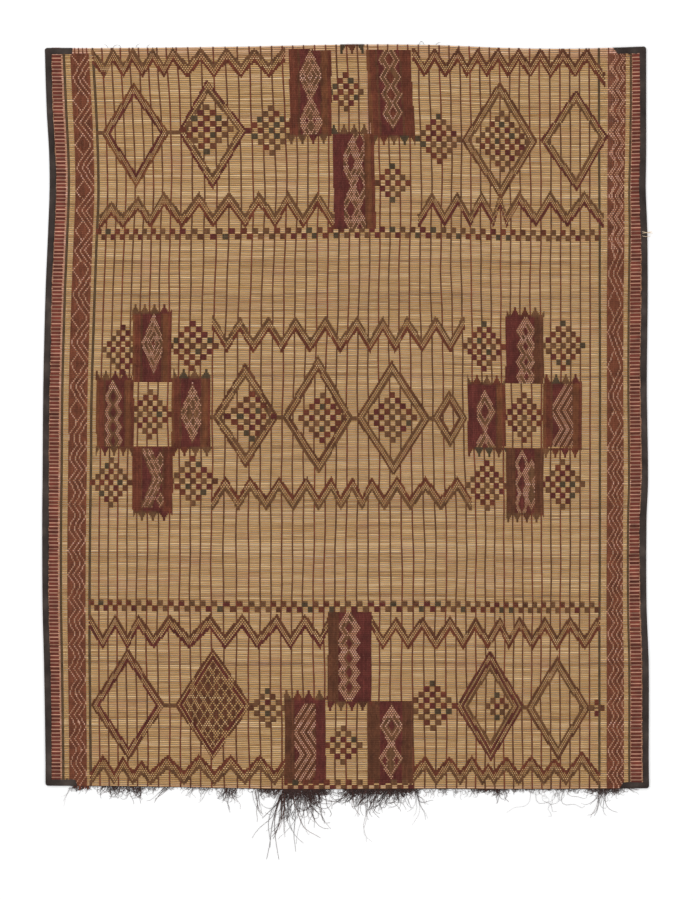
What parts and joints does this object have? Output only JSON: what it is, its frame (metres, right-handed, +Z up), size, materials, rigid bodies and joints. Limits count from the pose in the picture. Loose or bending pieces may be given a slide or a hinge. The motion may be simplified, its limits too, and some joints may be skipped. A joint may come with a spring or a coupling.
{
  "type": "tuareg reed and leather mat",
  "caption": "Flat rectangular floor mat of dry reeds side by side, worked with leather thongs and inlay, with folded leather side bindings and a short hair fringe along its foot.",
  "frame": {"origin": "centre of the underside of the whole mat's box, fringe included", "axes": "+Z up from the floor, +Y from the fringed foot towards the top edge, +X to the right along the reeds as the mat is seen from above"},
  "size_m": [1.638, 2.1522, 0.0061],
  "materials": {
    "reed": "dry straw stems, satin",
    "binding_leather": "worn dark brown, creased",
    "thong_leather": "narrow dyed strips, red brown and olive, matt",
    "fringe_hair": "dark wiry hair"
  },
  "bodies": {
    "root": {"reed_panel": "reed", "binding_left": "binding_leather", "binding_right": "binding_leather", "fringe_left": "fringe_hair", "fringe_right": "fringe_hair"}
  },
  "joints": []
}
